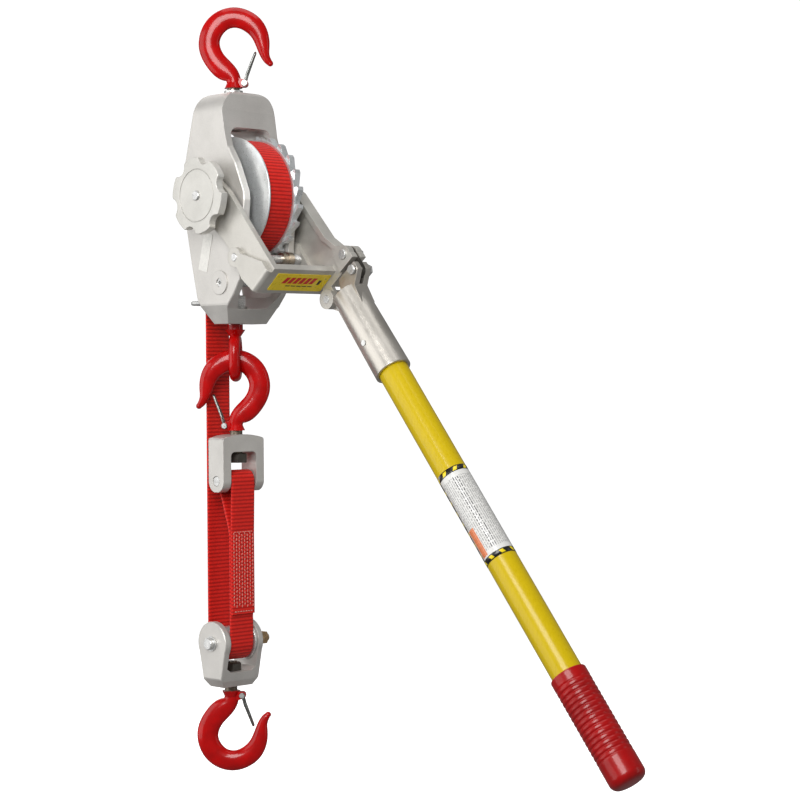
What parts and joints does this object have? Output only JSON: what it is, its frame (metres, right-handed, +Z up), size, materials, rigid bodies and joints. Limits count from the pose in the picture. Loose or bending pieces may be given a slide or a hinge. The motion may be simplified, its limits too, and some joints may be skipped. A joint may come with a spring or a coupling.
{
  "type": "come along winch",
  "caption": "Lever-operated strap winch with a ratchet drum in a cast frame, swivel hooks, a pulley block on the doubled strap and a long handle.",
  "frame": {"origin": "seat of the top hook, on the hook's swivel axis, where the winch hangs", "axes": "+Z up along the line of pull, X along the drum shaft with the handwheel on -X, -Y to the lever side"},
  "size_m": [0.156, 0.6737, 0.9704],
  "materials": {
    "cast_aluminium": "cast, satin",
    "yoke_casting": "cast, satin",
    "bronze": "satin",
    "zinc_steel": "zinc plated, bright",
    "drum_steel": "zinc plated",
    "dark_steel": "oiled",
    "latch_wire": "zinc plated",
    "brass": "satin",
    "red_paint": "gloss",
    "webbing": "woven",
    "plate": "printed, satin",
    "yellow_plate": "printed, gloss",
    "yellow_fibreglass": "gloss",
    "red_vinyl": "gloss"
  },
  "bodies": {
    "frame": {"frame_casting": "cast_aluminium", "axle_bush_left": "bronze", "axle_bush_right": "bronze", "strap_guide": "zinc_steel", "rating_plate": "plate", "holding_pawl_pin": "zinc_steel", "clevis": "cast_aluminium", "clevis_pin": "zinc_steel", "clevis_spool": "zinc_steel", "strap_front": "webbing", "strap_rear": "webbing"},
    "top_hook": {"top_hook": "red_paint", "top_hook_nut": "zinc_steel", "top_hook_washer": "zinc_steel", "top_latch_rivet": "zinc_steel"},
    "top_latch": {"top_latch": "latch_wire"},
    "drum": {"drum_shaft": "zinc_steel", "drum_core": "drum_steel", "ratchet_wheel": "drum_steel", "wound_strap": "webbing", "handwheel": "cast_aluminium", "shaft_nut": "zinc_steel"},
    "yoke": {"yoke": "yoke_casting", "front_plate": "yellow_plate", "pawl_shaft": "zinc_steel", "handle_link": "dark_steel", "link_bolt_upper": "zinc_steel", "link_bolt_lower": "zinc_steel", "knuckle_pin": "zinc_steel", "handle_socket": "cast_aluminium", "socket_rivet": "zinc_steel", "handle_tube": "yellow_fibreglass", "grip": "red_vinyl"},
    "driving_pawl": {"driving_pawl": "dark_steel", "driving_pawl_spring": "zinc_steel"},
    "holding_pawl": {"holding_pawl": "dark_steel", "holding_pawl_spring": "zinc_steel"},
    "bottom_eye": {"eye_bolt": "red_paint", "eye_nut": "zinc_steel", "eye_washer": "zinc_steel"},
    "strap_hook": {"strap_hook": "red_paint", "strap_hook_nut": "dark_steel", "strap_latch_rivet": "zinc_steel"},
    "strap_latch": {"strap_latch": "latch_wire"},
    "lower_block": {"block_casting": "cast_aluminium", "block_pin": "zinc_steel", "block_pin_nut": "brass", "block_pin_washer": "zinc_steel", "strap_wrap": "webbing"},
    "sheave": {"sheave": "zinc_steel"},
    "load_hook": {"load_hook": "red_paint", "load_hook_nut": "dark_steel", "load_latch_rivet": "zinc_steel"},
    "load_latch": {"load_latch": "latch_wire"}
  },
  "joints": [
    {"name": "top_hook_swivel", "type": "hinge", "parent": "frame", "child": "top_hook", "pos_m": [0, 0, -0.1], "axis": [0, 0, 1], "continuous": true},
    {"name": "top_latch_hinge", "type": "hinge", "parent": "top_hook", "child": "top_latch", "pos_m": [0.01025, -0.01025, -0.0708], "axis": [-0.7071, -0.7071, 0], "range_deg": [0, 38], "stiffness_Nm_per_rad": 0.06, "springref_deg": -20.05},
    {"name": "drum_spin", "type": "hinge", "parent": "frame", "child": "drum", "pos_m": [0, -0.017, -0.217], "axis": [1, 0, 0], "range_deg": [-147.27, 16.36]},
    {"name": "yoke_swing", "type": "hinge", "parent": "frame", "child": "yoke", "pos_m": [0, -0.017, -0.217], "axis": [-1, 0, 0], "range_deg": [0, 81.82]},
    {"name": "driving_pawl_hinge", "type": "hinge", "parent": "yoke", "child": "driving_pawl", "pos_m": [0.027, -0.07122, -0.29501], "axis": [1, 0, 0], "range_deg": [0, 12]},
    {"name": "holding_pawl_hinge", "type": "hinge", "parent": "frame", "child": "holding_pawl", "pos_m": [0.027, -0.0226, -0.32385], "axis": [1, 0, 0], "range_deg": [0, 12]},
    {"name": "strap_hook_swivel", "type": "hinge", "parent": "frame", "child": "strap_hook", "pos_m": [0, 0, -0.52], "axis": [0, 0, 1], "continuous": true},
    {"name": "eye_swivel", "type": "hinge", "parent": "frame", "child": "bottom_eye", "pos_m": [0, 0, -0.37], "axis": [0, 0, 1], "continuous": true},
    {"name": "strap_latch_hinge", "type": "hinge", "parent": "strap_hook", "child": "strap_latch", "pos_m": [-0.01025, 0.01025, -0.5038], "axis": [0.7071, 0.7071, 0], "range_deg": [0, 38], "stiffness_Nm_per_rad": 0.06, "springref_deg": -20.05},
    {"name": "lower_block_slide", "type": "slide", "parent": "frame", "child": "lower_block", "axis": [0, 0, 1], "range_m": [-0.094, 0.0105], "deforming": ["strap_front", "strap_rear"]},
    {"name": "sheave_spin", "type": "hinge", "parent": "lower_block", "child": "sheave", "pos_m": [0, 0.014, -0.779], "axis": [1, 0, 0], "range_deg": [-251, 28]},
    {"name": "load_hook_swivel", "type": "hinge", "parent": "lower_block", "child": "load_hook", "pos_m": [0, 0.014, -0.83], "axis": [0, 0, 1], "continuous": true},
    {"name": "load_latch_hinge", "type": "hinge", "parent": "load_hook", "child": "load_latch", "pos_m": [0.01025, 0.00375, -0.8476], "axis": [0.7071, 0.7071, 0], "range_deg": [0, 38], "stiffness_Nm_per_rad": 0.06, "springref_deg": -20.05}
  ],
  "couplings": [
    {"joint": "lower_block_slide", "follows": "drum_spin", "m_per_rad": 0.0365},
    {"joint": "sheave_spin", "follows": "drum_spin", "ratio": 1.6977},
    {"joint": "eye_swivel", "follows": "strap_hook_swivel", "ratio": 1}
  ]
}
